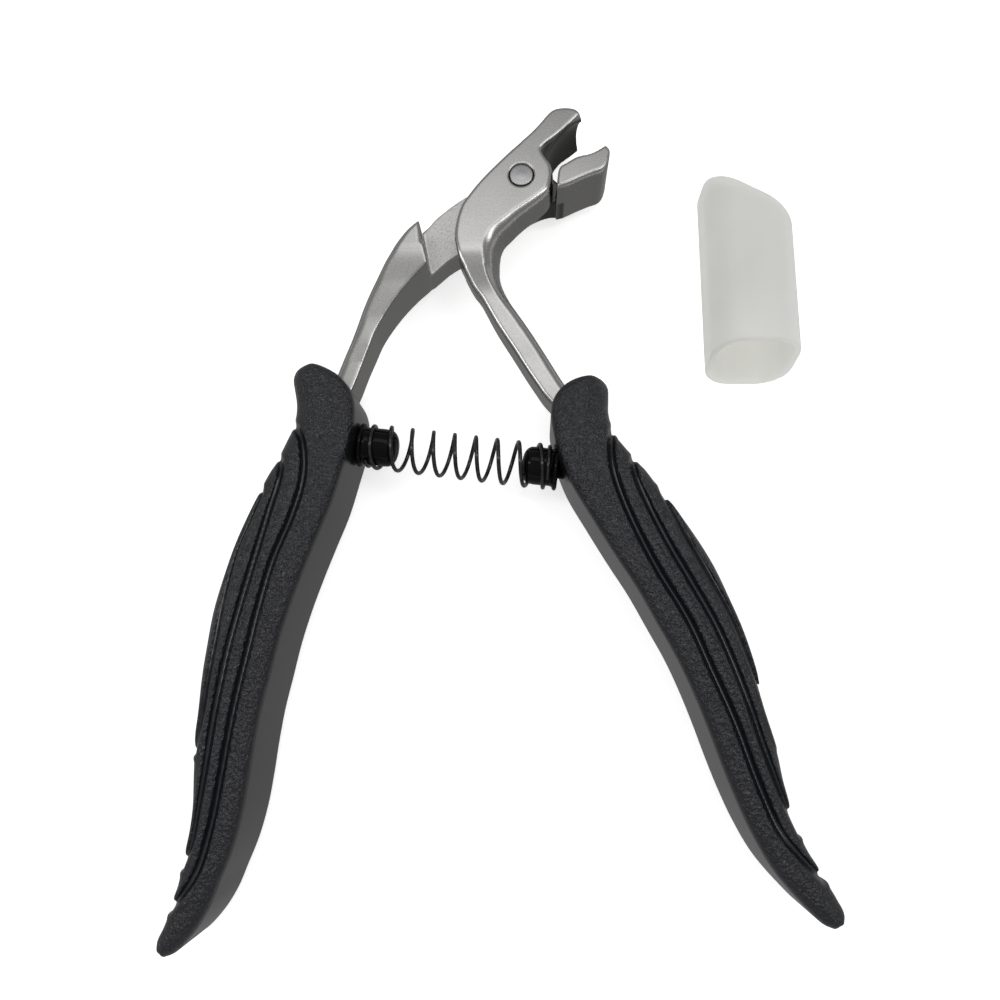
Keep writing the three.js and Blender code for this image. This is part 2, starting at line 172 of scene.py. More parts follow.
def sample(field, where):
    """A field's values at points given in grid steps, between its samples."""
    n = np.array(field.shape)
    w = np.clip(where, 0, n - 1.001)
    i = w.astype(int)
    f = w - i
    out = 0
    for dx in (0, 1):
        for dy in (0, 1):
            for dz in (0, 1):
                share = (
                    (f[:, 0] if dx else 1 - f[:, 0])
                    * (f[:, 1] if dy else 1 - f[:, 1])
                    * (f[:, 2] if dz else 1 - f[:, 2])
                )
                out = out + share * field[i[:, 0] + dx, i[:, 1] + dy, i[:, 2] + dz]
    return out


def skin(field, grid):
    """Vertices in millimetres, quads and normals of the surface where the field is zero."""
    f = field.astype(np.float32)
    inside = f < 0
    c = np.zeros(np.array(f.shape) - 1, np.int8)
    nx, ny, nz = c.shape
    corners = [(i, j, k) for i in (0, 1) for j in (0, 1) for k in (0, 1)]
    for i, j, k in corners:
        c += inside[i : i + nx, j : j + ny, k : k + nz]
    cells = np.argwhere((c > 0) & (c < 8))
    index = np.full(c.shape, -1, np.int64)
    index[tuple(cells.T)] = np.arange(len(cells))
    total = np.zeros((len(cells), 3))
    count = np.zeros(len(cells))
    for a in corners:
        for axis in range(3):
            if a[axis]:
                continue
            b = list(a)
            b[axis] = 1
            ca, cb = cells + a, cells + b
            fa, fb = f[tuple(ca.T)], f[tuple(cb.T)]
            cut = (fa < 0) != (fb < 0)
            t = np.where(cut, fa / np.where(cut, fa - fb, 1), 0)
            at = ca + t[:, None] * (cb - ca)
            total[cut] += at[cut]
            count[cut] += 1
    where = total / count[:, None]
    slope = np.gradient(f)
    base = where.copy()
    for _ in range(2):
        v = sample(f, where)
        g = np.stack([sample(s, where) for s in slope], 1)
        step = (v / np.maximum((g * g).sum(1), 1e-9))[:, None] * g
        size = np.linalg.norm(step, axis=1, keepdims=True)
        where = where - step * np.minimum(1, 0.4 / np.maximum(size, 1e-9))
    where = np.clip(where, base - 0.6, base + 0.6)
    g = np.stack([sample(s, where) for s in slope], 1)
    normals = g / np.maximum(np.linalg.norm(g, axis=1, keepdims=True), 1e-9)
    quads = []
    for axis in range(3):
        u, v = (axis + 1) % 3, (axis + 2) % 3
        lo = [slice(1, None)] * 3
        lo[axis] = slice(0, f.shape[axis] - 1)
        hi = list(lo)
        hi[axis] = slice(1, f.shape[axis])
        for k in (u, v):
            lo[k] = hi[k] = slice(1, f.shape[k] - 1)
        a, b = inside[tuple(lo)], inside[tuple(hi)]
        at = np.argwhere(a != b)
        flip = b[tuple(at.T)]
        for k in (u, v):
            at[:, k] += 1
        q = []
        for du, dv in ((-1, -1), (0, -1), (0, 0), (-1, 0)):
            cell = at.copy()
            cell[:, u] += du
            cell[:, v] += dv
            q.append(index[tuple(cell.T)])
        q = np.stack(q, 1)
        q[flip] = q[flip][:, ::-1]
        quads.append(q)
    return grid.lo + where * grid.h, np.concatenate(quads), normals, where


def finish_mesh(name, verts, faces, normals=None):
    me = bpy.data.meshes.new(name)
    me.from_pydata((np.asarray(verts) * MM).tolist(), [], [tuple(map(int, f)) for f in faces])
    me.polygons.foreach_set("use_smooth", np.ones(len(me.polygons), bool))
    me.update()
    if normals is not None:
        me.normals_split_custom_set_from_vertices(normals.tolist())
    ob = bpy.data.objects.new(name, me)
    bpy.context.scene.collection.objects.link(ob)
    return ob


def solid(name, field, grid, marks=None):
    """A mesh of the field's zero surface; marks are fields kept as point attributes."""
    field = np.broadcast_to(field, (len(grid.ax[0]), len(grid.ax[1]), len(grid.ax[2])))
    verts, quads, normals, where = skin(field, grid)
    ob = finish_mesh(name, verts, quads, normals)
    for key, f in (marks or {}).items():
        f = np.broadcast_to(f, field.shape)
        at = ob.data.attributes.new(key, "FLOAT", "POINT")
        at.data.foreach_set("value", sample(f, where).astype(np.float32))
    # wall is 1 - |normal z|: the steel paints shade on steep faces by it, and the plastic keeps its grain to the top
    # faces by it
    at = ob.data.attributes.new("wall", "FLOAT", "POINT")
    at.data.foreach_set("value", (1 - np.abs(normals[:, 2])).astype(np.float32))
    return ob


def lathe(name, profile, origin, direction, sides=72):
    """A turned piece: (radius, height) pairs along the direction from the origin, in millimetres."""
    d = Vector(direction).normalized()
    q = Vector((0, 0, 1)).rotation_difference(d)
    verts, faces = [], []
    rings = []
    for r, h in profile:
        if r <= 1e-6:
            rings.append([len(verts)])
            verts.append(Vector(origin) + q @ Vector((0, 0, h)))
        else:
            ring = []
            for i in range(sides):
                a = 2 * math.pi * i / sides
                ring.append(len(verts))
                verts.append(Vector(origin) + q @ Vector((r * math.cos(a), r * math.sin(a), h)))
            rings.append(ring)
    for a, b in zip(rings, rings[1:]):
        if len(a) == 1 and len(b) == 1:
            continue
        for i in range(sides):
            j = (i + 1) % sides
            if len(a) == 1:
                faces.append((a[0], b[j], b[i]))
            elif len(b) == 1:
                faces.append((a[i], a[j], b[0]))
            else:
                faces.append((a[i], a[j], b[j], b[i]))
    return finish_mesh(name, [tuple(v) for v in verts], faces)


def rounded(points, r, n=5):
    """A profile with its inner corners rounded by arcs of radius r."""
    p = [np.array(x, float) for x in points]
    out = [tuple(p[0])]
    for a, b, c in zip(p, p[1:], p[2:]):
        u, v = a - b, c - b
        lu, lv = np.linalg.norm(u), np.linalg.norm(v)
        k = min(r, lu * 0.45, lv * 0.45)
        s, e = b + u / lu * k, b + v / lv * k
        for t in np.linspace(0, 1, n + 1):
            out.append(tuple((1 - t) ** 2 * s + 2 * t * (1 - t) * b + t * t * e))
    out.append(tuple(p[-1]))
    return out


# ------------------------------------------------------------------ outlines in plan
FRONT_HEAD = [
    (-5.18, 45.23), (-3.31, 47.83), (0.30, 51.85), (4.97, 56.53), (6.86, 58.91), (7.35, 59.45), (8.04, 59.90),
    (9.68, 60.13), (11.33, 59.75), (12.38, 58.30), (11.15, 57.60), (9.40, 56.25), (7.70, 54.85), (6.15, 53.45),
    (6.12, 52.81), (6.60, 51.88), (7.42, 50.67), (7.82, 49.36), (7.86, 47.81), (7.50, 46.10), (6.70, 44.90),
    (5.75, 44.00), (4.47, 42.88), (2.70, 41.32), (1.38, 39.88), (0.39, 38.80), (-0.15, 37.48), (-0.35, 35.9),
    (-0.45, 34.2), (-1.2, 32.4), (-2.6, 31.3), (-3.9, 31.7), (-5.36, 33.4), (-6.26, 35.18),
    (-6.63, 36.62), (-6.97, 38.37), (-6.94, 39.89), (-6.62, 41.92), (-5.97, 43.95),
]
FRONT_ARM = [
    (-5.75, 34.2), (-5.44, 33.26), (-4.04, 30.56), (-2.99, 29.2), (-0.73, 25.2), (1.79, 21.2), (4.26, 17.2), (5.30, 15.60),
    (6.30, 14.10), (8.40, 11.60), (10.20, 8.80), (12.10, 4.50), (14.70, -1.0), (18.00, -7.1), (21.70, -13.6),
    (24.90, -20.0), (27.60, -26.1), (29.90, -32.1), (31.80, -38.5), (32.7, -39.6), (33.9, -38.9), (34.2, -37.6),
    (32.50, -31.2), (30.10, -24.8), (27.30, -18.3), (24.10, -11.9), (20.50, -5.4), (17.20, 0.5), (14.80, 5.9),
    (12.90, 10.3), (10.90, 13.7), (8.65, 17.30), (7.30, 19.60), (5.85, 22.10), (4.30, 24.70), (2.75, 27.15),
    (1.30, 29.60), (0.60, 30.90), (0.10, 32.10), (-0.30, 33.60), (-0.35, 35.9), (-2.8, 36.2),
]
REAR_ARM = [
    (-12.49, 41.46), (-14.15, 39.98), (-15.15, 38.75), (-16.00, 37.52), (-16.72, 36.28), (-17.45, 35.08),
    (-18.72, 32.58), (-19.84, 30.12), (-20.80, 27.65), (-21.60, 25.15), (-22.42, 22.66), (-23.38, 20.20),
    (-24.20, 17.83), (-25.35, 14.0), (-27.1, 8.0), (-28.7, 2.2), (-31.2, -5.0), (-33.9, -12.0), (-36.1, -20.0),
    (-37.4, -28.0), (-37.9, -36.0), (-37.8, -38.6), (-36.8, -39.8), (-35.6, -39.0), (-35.1, -34.0), (-34.0, -26.0),
    (-32.2, -18.0), (-29.6, -10.0), (-26.7, -2.0), (-24.4, 5.0), (-23.0, 10.0), (-22.2, 13.6), (-21.3, 16.1),
    (-20.47, 18.65), (-19.54, 21.32), (-18.59, 24.03), (-17.16, 26.76), (-15.39, 29.52), (-13.14, 32.3),
    (-11.77, 33.74), (-11.0, 34.66),
]
REAR_LAP = [
    (-12.0, 34.2), (-11.0, 34.66), (-10.40, 35.19), (-8.73, 36.74), (-7.25, 37.80), (-4.80, 39.1), (-2.40, 40.2),
    (-0.40, 41.5), (0.90, 42.8), (2.40, 44.2), (4.30, 45.6), (7.20, 46.80), (9.57, 46.75), (10.50, 48.6), (10.0, 50.3),
    (8.95, 50.05), (7.85, 51.1), (6.20, 52.5), (3.30, 53.25), (0.40, 52.2), (-2.50, 50.1), (-5.62, 48.29), (-8.48, 46.19),
    (-10.61, 44.24), (-11.66, 42.93), (-12.6, 42.0), (-13.4, 40.9), (-14.0, 36.5),
]
LOWER_JAW = [
    (8.90, 50.0), (9.70, 50.52), (11.45, 51.58), (14.0, 52.42), (15.78, 53.42), (16.33, 52.75), (16.30, 51.53),
    (15.35, 49.20), (13.55, 48.45), (11.88, 47.72), (9.57, 46.61), (8.30, 46.30), (8.42, 48.0), (8.62, 49.4),
]
GRIP_LEFT = [
    (-27.2, 18.35), (-28.6, 18.45), (-29.9, 17.7), (-30.35, 16.4), (-30.05, 14.6), (-29.7, 12.6), (-29.75, 10.5),
    (-30.3, 8.6), (-31.4, 5.7), (-33.6, 1.2), (-35.77, -3.75), (-37.41, -8.33), (-38.6, -12.84), (-39.5, -17.3),
    (-39.95, -21.6), (-40.27, -25.9), (-40.35, -30.15), (-40.3, -34.3), (-40.05, -38.4), (-39.8, -42.4),
    (-39.85, -46.4), (-40.3, -50.3), (-40.95, -54.0), (-41.8, -56.8), (-42.3, -58.2), (-42.25, -59.5),
    (-41.3, -60.25), (-39.9, -59.7), (-37.7, -57.4), (-36.0, -54.6), (-34.8, -51.4), (-33.54, -47.85), (-32.56, -43.6),
    (-32.0, -39.27), (-31.58, -34.87), (-31.0, -30.42), (-30.12, -25.9), (-29.22, -21.28), (-28.0, -16.6),
    (-26.5, -11.85), (-24.8, -7.0), (-23.05, -2.1), (-21.75, 2.9), (-20.95, 6.2), (-20.55, 9.2), (-20.60, 11.8),
    (-21.2, 14.0), (-22.7, 16.0), (-24.7, 17.4),
]
GRIP_RIGHT = [
    (13.0, 16.2), (14.6, 16.1), (15.5, 15.1), (15.6, 13.5), (15.55, 11.6), (15.9, 9.7), (16.9, 7.6), (18.4, 5.5),
    (20.4, 3.2), (22.05, 0.86), (23.9, -1.43), (26.88, -5.93), (29.4, -10.35), (31.33, -14.7), (32.97, -18.95),
    (34.18, -23.15), (35.1, -27.27), (35.64, -31.32), (36.42, -35.31), (37.06, -39.23), (37.81, -43.1),
    (39.35, -46.86), (41.0, -49.8), (42.2, -51.9), (42.75, -53.3), (42.5, -54.6), (41.4, -55.2),
    (40.1, -54.7), (37.8, -52.6), (34.43, -48.72), (32.08, -44.65), (30.23, -40.5), (28.64, -36.27), (27.15, -31.96),
    (25.5, -27.59), (23.54, -23.14), (21.1, -18.6), (18.6, -13.99), (15.65, -9.3), (12.77, -4.5), (9.9, 0.5),
    (8.5, 4.0), (7.6, 7.5), (7.25, 10.6), (7.6, 12.6), (8.7, 14.3), (10.6, 15.6),
]
# the grooves of the grips run from notches in the outer side towards the lower end
GROOVES_LEFT = [
    [(-30.9, 10.3), (-29.6, 9.0), (-28.3, 6.9), (-27.75, 4.2), (-27.75, 0.6), (-28.85, -3.89), (-31.16, -10.37), (-32.65, -16.84),
     (-33.65, -22.4), (-34.9, -29.7), (-35.75, -36.81), (-36.6, -43.85), (-37.9, -49.53), (-39.6, -52.4), (-41.6, -54.6)],
    [(-32.4, 5.2), (-31.35, 3.9), (-31.0, 1.69), (-32.08, -3.32), (-33.77, -10.38), (-35.55, -18.19), (-36.35, -22.4),
     (-37.35, -29.72), (-38.1, -37.2), (-38.74, -42.76), (-39.3, -46.6), (-40.6, -49.6)],
    [(-34.6, 0.9), (-33.9, -0.4), (-34.6, -3.2), (-36.49, -8.53), (-37.6, -14.51), (-38.3, -20.69), (-38.95, -26.0),
     (-39.55, -31.5), (-40.4, -35.6)],
]
GROOVES_RIGHT = [
    [(16.2, 10.0), (15.3, 8.7), (14.9, 6.4), (15.04, 2.53), (16.67, -2.76), (19.19, -8.46), (20.9, -11.8), (24.47, -18.05),
     (27.16, -24.4), (29.74, -30.69), (32.5, -38.9), (34.7, -44.0), (37.6, -47.4), (40.0, -49.6)],
    [(18.9, 5.6), (18.0, 4.2), (18.1, 1.7), (19.51, -2.19), (22.3, -8.05), (24.94, -12.9), (28.2, -19.19),
     (31.5, -28.0), (33.5, -34.5), (35.5, -40.1), (37.6, -44.2)],
    [(22.4, 1.3), (22.0, -0.1), (23.9, -4.83), (26.1, -9.2), (27.7, -12.2), (30.6, -17.9),
     (33.2, -25.3), (34.6, -29.6), (36.2, -33.4)],
]


# ------------------------------------------------------------------ steel halves
def thickness(y, head, grip, tang):
    """Half the thickness of an arm along Y."""
    full, thin, end = Z_TOP - Z_MID, 2.9, 2.7
    t = soft((head - y) / (head - grip)) * 0.25 + np.clip((head - y) / (head - grip), 0, 1) * 0.75
    h = full + (thin - full) * t
    return h + (end - thin) * soft((tang + 0.6 - y) / 1.2)


def hole(g, r):
    return r - np.hypot(g.X - PIVOT[0], g.Y - PIVOT[1])


H = 0.2
JAW = np.array([0.679, 0.734])


def front_half():
    g = Grid((-8.2, -40.2, Z_LOW), (34.2, 60.7, Z_TOP), H)
    X, Y, Z = g.X, g.Y, g.Z
    head2, arm2 = g.region(outline(FRONT_HEAD)), g.region(outline(FRONT_ARM))
    plan = np.minimum(head2, arm2)
    left = g.line(outline([(31.8, -38.5), (27.6, -26.1), (21.7, -13.6), (14.7, -1), (10.2, 8.8), (6.3, 14.1), (4.26, 17.2), (1.79, 21.2),
                           (-0.73, 25.2), (-2.99, 29.2), (-4.04, 30.56), (-5.44, 33.26), (-6.97, 38.37), (-5.97, 43.95), (-3.31, 47.83),
                           (0.3, 51.85), (6.86, 58.91)], closed=False))[0]
    right = g.line(outline([(34.2, -37.6), (30.1, -24.8), (24.1, -11.9), (17.2, 0.5), (10.9, 13.7), (7.3, 19.6), (4.3, 24.7), (1.3, 29.6),
                            (0.1, 32.1), (-0.35, 35.9), (0.39, 38.8), (2.7, 41.32), (5.75, 44.0), (7.86, 47.81), (7.4, 50.7), (6.15, 53.4)], closed=False))[0]
    side = soft(0.5 + (left - right) / curve(Y, [28, 36], [2.4, 5.0]))
    # top face: level on the head, falling steeply over the neck, then almost level along the arm
    half = curve(Y, [-40, 9.8, 11.2, 20, 26, 30, 31.5, 34.5, 36.5, 60], [2.7, 2.7, 2.9, 2.95, 3.2, 3.45, 3.65, 4.3, 4.65, 4.65], 1.6)
    top = Z_MID + half
    under = curve(Y, [-40, 15, 19, 22, 25, 28, 30.2, 31, 60], [3.8, 3.75, 3.9, 4.3, 4.9, 5.8, 6.65, 6.65, 6.65], 0.8)
    up = np.clip((Z - np.maximum(under, 5.6)) / (top - np.maximum(under, 5.6)), 0, 1)
    wide = curve(Y, [20, 27, 30, 33.5, 36, 38, 40, 42, 44, 46, 49, 52], [0.15, 0.4, 0.9, 1.5, 1.6, 1.5, 1.15, 0.85, 0.6, 0.4, 0.2, 0.1], 1.5)
    lean = side * wide * up**1.6
    r_edge = 0.16 + side * curve(Y, [18, 24, 29, 33, 38, 41, 44, 48, 51], [1.05, 1.0, 0.95, 1.2, 1.2, 1.0, 0.8, 0.6, 0.12], 1.5)
    r_edge = r_edge + (1 - side) * curve(Y, [20, 30, 40, 52], [0.25, 0.25, 0.12, 0.1], 2.0)
    low_edge = curve(Y, [20, 30], [0.8, 0.15], 2.0)
    r = low_edge * soft((6.2 - Z) / 1.2) + r_edge * soft((Z - 6.9) / 1.5) + 0.12
    plate = both(plan + lean, np.maximum(Z - top, under - Z), r)
    # full thickness beyond a line across the jaw
    s = (X - PIVOT[0]) * 0.689 + (Y - PIVOT[1]) * 0.7247
    # hollow inner side and light bevel of the jaw
    tip, root = np.array([11.78, 58.45]), np.array([5.60, 53.35])
    d = (tip - root) / np.linalg.norm(tip - root)
    out = np.array([d[1], -d[0]])
    along = (X - root[0]) * d[0] + (Y - root[1]) * d[1]
    off = (X - root[0]) * out[0] + (Y - root[1]) * out[1]
    foot = 0.5 * soft((5.6 - Z) / 3.0) * soft((4.6 - along) / 2.4) * soft((along + 1.0) / 1.2) * soft((off + 1.6) / 1.2)
    jaw = both(head2 - foot, np.maximum(Z - Z_TOP, Z_LOW - Z), 0.3)
    jaw = both(jaw, np.maximum(3.2 - s, 5.55 - np.hypot(X - PIVOT[0], Y - PIVOT[1])), 0.3)
    scoop = (np.sqrt(((along - 5.2) / 4.9) ** 2 + ((off - 0.55) / 2.1) ** 2 + ((Z - 5.9) / 5.2) ** 2) - 1) * 1.9
    jaw = both(jaw, -scoop, 0.12)
    a = np.array([10.45, 58.5])
    across = (X - a[0]) * JAW[1] - (Y - a[1]) * JAW[0]
    bevel = np.minimum(across * 0.74 + (Z - Z_TOP) * 0.67, along - 0.2)
    low = np.minimum(across * 0.74 - (Z - Z_LOW) * 0.67, along - 0.2)
    jaw = both(both(jaw, bevel, 0.10), low, 0.10)
    plate = both(plate, bevel, 0.10)
    plate = both(plate, np.minimum(-scoop, along - 0.6), 0.12)
    body = np.minimum(plate, jaw)
    body = both(body, hole(g, 1.88), 0.12)
    # painted shade: a mark for near-black colour in the jaw's hollow and on the head's walls facing the mouth, where
    # shade falls in the recess
    hollow_shade = soft((0.34 - np.abs(scoop)) / 0.24) + soft((off + 1.4) / 0.8) * soft((Z_TOP - 0.5 - Z) / 0.4) * soft((along + 2.2) / 1.2)
    return solid("front_half_steel", body, g, {"lap": np.zeros_like(body), "hollow_shade": np.clip(hollow_shade, 0, 1) + np.zeros_like(body)})


def rear_half():
    g = Grid((-38.9, -40.2, Z_LOW), (16.3, 54.0, Z_TOP), H)
    X, Y, Z = g.X, g.Y, g.Z
    arm2, lap2, jaw2 = (g.region(outline(o)) for o in (REAR_ARM, REAR_LAP, LOWER_JAW))
    half = thickness(Y, 37.5, 19.5, 13.2) - 0.22 * soft((36.5 - Y) / 5) * soft((Y - 22) / 5)
    a_out = g.line(outline([(-12.49, 41.46), (-14.15, 39.98), (-16.0, 37.52), (-18.72, 32.58), (-20.8, 27.65), (-22.42, 22.66), (-24.2, 17.83), (-27.1, 8.0), (-31.2, -5), (-36.1, -20), (-37.9, -36)], closed=False))[0]
    a_in = g.line(outline([(-11.0, 34.66), (-13.14, 32.3), (-15.39, 29.52), (-17.16, 26.76), (-18.59, 24.03), (-20.47, 18.65), (-22.2, 13.6), (-24.4, 5.0), (-29.6, -10), (-34.0, -26), (-35.6, -39)], closed=False))[0]
    outer = soft(0.5 + (a_in - a_out) / 2.4)
    r = 0.30 + outer * curve(Y, [20, 33, 38, 41], [1.15, 1.1, 0.55, 0.15])
    arm = both(arm2, np.abs(Z - Z_MID) - half, r)
    lap = both(lap2, np.maximum(Z - LAP_LOW_TOP, Z_LOW - Z), 0.2)
    jaw_top = np.interp(X, [8.0, 15.0], [0.6, 0.75])
    jaw = both(jaw2, np.maximum(Z - Z_TOP, Z_LOW - Z), 0.25 + jaw_top * soft((49.6 + (X - 12) * 0.42 - Y) / 2.0))
    tip, root = np.array([15.75, 53.25]), np.array([8.2, 50.0])
    d = (tip - root) / np.linalg.norm(tip - root)
    out = np.array([-d[1], d[0]])
    along = (X - root[0]) * d[0] + (Y - root[1]) * d[1]
    off = (X - root[0]) * out[0] + (Y - root[1]) * out[1]
    scoop = (np.sqrt(((along - 5.2) / 5.6) ** 2 + ((off - 0.5) / 1.9) ** 2 + ((Z - 5.6) / 5.4) ** 2) - 1) * 1.7
    jaw = both(jaw, -scoop, 0.12)
    body = np.minimum(np.minimum(arm, lap), jaw)
    body = both(body, hole(g, 1.80), 0.05)
    face = soft((0.35 - np.abs(Z - LAP_LOW_TOP)) / 0.2) * soft((-lap2 + 0.1) / 0.2) * soft((X + 12.6) / 0.6)
    face = face * soft((1.0 - X) / 2.0)
    # painted shade: a mark for near-black colour in the jaw's hollow and in the corner under the jaw beside the lap
    # plate
    hollow_shade = soft((0.34 - np.abs(scoop)) / 0.24) * soft((Z_TOP - 0.4 - Z) / 0.4)
    hollow_shade = np.maximum(hollow_shade, soft((X - 4.0) / 2.0) * soft((LAP_LOW_TOP + 0.5 - Z) / 0.3) * soft((0.6 - lap2) / 0.3) * soft((51.5 + 0.3 * X - Y) / 0.5) * soft((9.1 - X) / 0.4))
    return solid("rear_half_steel", body, g, {"lap": face + np.zeros_like(body), "hollow_shade": hollow_shade + np.zeros_like(body)})


# ------------------------------------------------------------------ grips
def grip(name, points, grooves, outer_to, side_sign):
    line = outline(points)
    lo, hi = line.min(0), line.max(0)
    g = Grid((*lo, 0.0), (*hi, 13.0), 0.215)
    X, Y, Z = g.X, g.Y, g.Z
    d2 = g.region(line)
    pts = [tuple(p) for p in points]
    far = g.line(outline(pts[1:outer_to], closed=False))[0]
    near = g.line(outline(pts[outer_to + 1 :] + pts[:1], closed=False))[0]
    outer = soft(0.5 + (near - far) / 5.0)
    r_far = curve(Y, [-60, -50, -38, -20, 12, 17], [2.3, 2.9, 3.7, 4.4, 4.4, 4.0], 4.0)
    r_near = curve(Y, [-60, -50, 0, 20], [1.9, 1.5, 1.25, 1.4], 4.0)
    r = r_near + (r_far - r_near) * outer
    body = both(d2, np.abs(Z - 6.5) - 6.5, r)
    cut = 0
    for k, pts in enumerate(grooves):
        d, s, t = g.line(outline(pts, closed=False, shift=False))
        u = d * s * side_sign
        deep = [0.66, 0.62, 0.48][k] * (1 - 0.35 * soft((t - 0.8) / 0.2)) * (0.45 + 0.55 * soft(t / 0.07))
        cut = cut + deep * (0.5 + 0.5 * soft(Z / 2.5)) * (1 - soft((d - 0.02) / 0.62)) - 0.12 * soft((Z - 6.5) / 3.0) * soft(t / 0.04) * np.exp(-(((d - 0.86) / 0.30) ** 2))
        # beyond the groove the next leaf starts low and rises
        cut = cut + np.where(u > 0, 0.26 * np.exp(-((u - 0.25) / 1.1) ** 2) * soft((u) / 0.3), 0) * (1 - soft((t - 0.85) / 0.15))
    body = body + cut
    return solid(name, body, g, {"groove": np.broadcast_to(np.clip(cut / 0.5, 0, 1), body.shape)})


# ------------------------------------------------------------------ make the pieces
front = front_half()
rear = rear_half()
left_grip = grip("left_grip_moulding", GRIP_LEFT, GROOVES_LEFT, 24, -1)
right_grip = grip("right_grip_moulding", GRIP_RIGHT, GROOVES_RIGHT, 24, 1)

rivet = lathe(
    "rivet_pin",
    [(0, 0), *rounded([(1.2, 0), (1.76, 0), (1.76, 9.3), (1.2, 9.3)], 0.16), (0.6, 9.33), (0, 9.34)],
    (PIVOT[0], PIVOT[1], Z_LOW),
    (0, 0, 1),
    96,
)

AXIS_L = np.array([-21.35, 7.63, 6.5])
AXIS_R = np.array([7.90, 4.01, 6.5])
LENGTH = float(np.linalg.norm(AXIS_R - AXIS_L))
ALONG = (AXIS_R - AXIS_L) / LENGTH


def stud(name, origin, direction, nose, r_nose):
    profile = [(0, -1.7), (1.5, -1.7), (1.5, 0.05), (2.9, 0.05), (3.25, 0.2), (3.3, 0.5), (3.1, 0.72), (r_nose + 0.12, 0.8), (r_nose, 1.1), (r_nose, 1.6),
               (r_nose + 0.05, nose - 2.0), (r_nose, nose - 1.45)]
    for a in np.linspace(8, 88, 9):
        profile.append((0.35 + (r_nose - 0.35) * math.cos(math.radians(a)) ** 0.85, nose - 1.4 + 1.4 * math.sin(math.radians(a))))
    profile.append((0, nose))
    return lathe(name, profile, tuple(origin), tuple(direction), 80)


stud_l = stud("stud_left_turned", AXIS_L, ALONG, 5.7, 2.72)
stud_r = stud("stud_right_turned", AXIS_R, -ALONG, 5.4, 2.72)


def coil():
    """The wire: closed coils at both ends, open coils of even pitch between them."""
    pitch, closed = 3.13, 0.64
    s0, s1 = 1.5, LENGTH - 1.45
    n = 4000
    s = np.linspace(s0, s1, n)
    dens = 1 / pitch + (1 / closed - 1 / pitch) * (soft((s0 + 0.8 - s) / 0.5) + soft((s - (s1 - 0.9)) / 0.5))
    turn = np.concatenate([[0], np.cumsum((dens[1:] + dens[:-1]) / 2 * np.diff(s))])
    turn -= np.interp(7.43, s, turn)
    count = int((turn[-1] - turn[0]) * 40)
    tt = np.linspace(turn[0], turn[-1], count)
    ss = np.interp(tt, turn, s)
    up = np.array([0, 0, 1.0])
    v = np.cross(up, ALONG)
    radius = 3.12 - 0.18 * soft((s0 + 1.0 - ss) / 1.0) - 0.18 * soft((ss - (s1 - 1.0)) / 1.0)
    a = 2 * math.pi * tt
    p = AXIS_L + ss[:, None] * ALONG + (radius * np.cos(a))[:, None] * v + (radius * np.sin(a))[:, None] * up
    t = np.gradient(p, axis=0)
    t /= np.linalg.norm(t, axis=1, keepdims=True)
    rad = (p - AXIS_L) - ((p - AXIS_L) @ ALONG)[:, None] * ALONG
    rad /= np.linalg.norm(rad, axis=1, keepdims=True)
    b = np.cross(t, rad)
    b /= np.linalg.norm(b, axis=1, keepdims=True)
    m, w = 12, 0.30
    verts, faces = [], []
    for i in range(count):
        for k in range(m):
            q = 2 * math.pi * k / m
            verts.append(p[i] + w * math.cos(q) * rad[i] + w * math.sin(q) * b[i])
    for i in range(count - 1):
        for k in range(m):
            j = (k + 1) % m
            faces.append((i * m + k, i * m + j, (i + 1) * m + j, (i + 1) * m + k))
    for i, sgn in ((0, 1), (count - 1, -1)):
        c = len(verts)
        verts.append(p[i] - sgn * 0.16 * t[i])
        for k in range(m):
            j = (k + 1) % m
            faces.append((c, i * m + j, i * m + k) if sgn > 0 else (c, i * m + k, i * m + j))
    return finish_mesh("spring_wire", verts, faces)


spring = coil()


# ------------------------------------------------------------------ protection cap
def cap():
    x0, x1, y0 = 30.0, 42.9, 18.95
    g = Grid((x0, 17.8, 0.0), (x1, 49.6, 12.9), 0.26)
    X, Y, Z = g.X, g.Y, g.Z
    cx, cz, hx, hz, r = (x0 + x1) / 2, 6.45, (x1 - x0) / 2, 6.45, 4.7
    qx, qz = np.abs(X - cx) - hx + r, np.abs(Z - cz) - hz + r
    section = np.minimum(np.maximum(qx, qz), 0) + np.hypot(np.maximum(qx, 0), np.maximum(qz, 0)) - r
    slope = (41.7 - 49.1) / 12.9
    n = math.hypot(1, slope)
    end = (Y - (49.21 + slope * (X - x0))) / n
    outside = both(section, end, 1.35)
    shell = np.abs(outside + 0.45) - 0.45
    mouth = -(Y - (y0 + 0.17 * Z)) / math.hypot(1, 0.17)
    shell = both(shell, mouth, 0.3)
    return solid("cap_shell", shell, g)


cap_ob = cap()


# ------------------------------------------------------------------ materials
def material(name):
    m = bpy.data.materials.new(name)
    m.use_nodes = True
    nt = m.node_tree
    nt.nodes.clear()
    out = nt.nodes.new("ShaderNodeOutputMaterial")
    return m, nt, out


def link(nt, a, b):
    nt.links.new(a, b)


def noise(nt, coord, scale, detail=3.0, rough=0.5, distort=0.0):
    n = nt.nodes.new("ShaderNodeTexNoise")
    n.inputs["Scale"].default_value = scale
    n.inputs["Detail"].default_value = detail
    n.inputs["Roughness"].default_value = rough
    n.inputs["Distortion"].default_value = distort
    nt.links.new(coord, n.inputs["Vector"])
    return n


def ramp(nt, src, stops):
    n = nt.nodes.new("ShaderNodeValToRGB")
    el = n.color_ramp.elements
    el[0].position, el[0].color = stops[0][0], (*stops[0][1], 1)
    el[1].position, el[1].color = stops[-1][0], (*stops[-1][1], 1)
    for p, c in stops[1:-1]:
        e = el.new(p)
        e.color = (*c, 1)
    nt.links.new(src, n.inputs["Fac"])
    return n


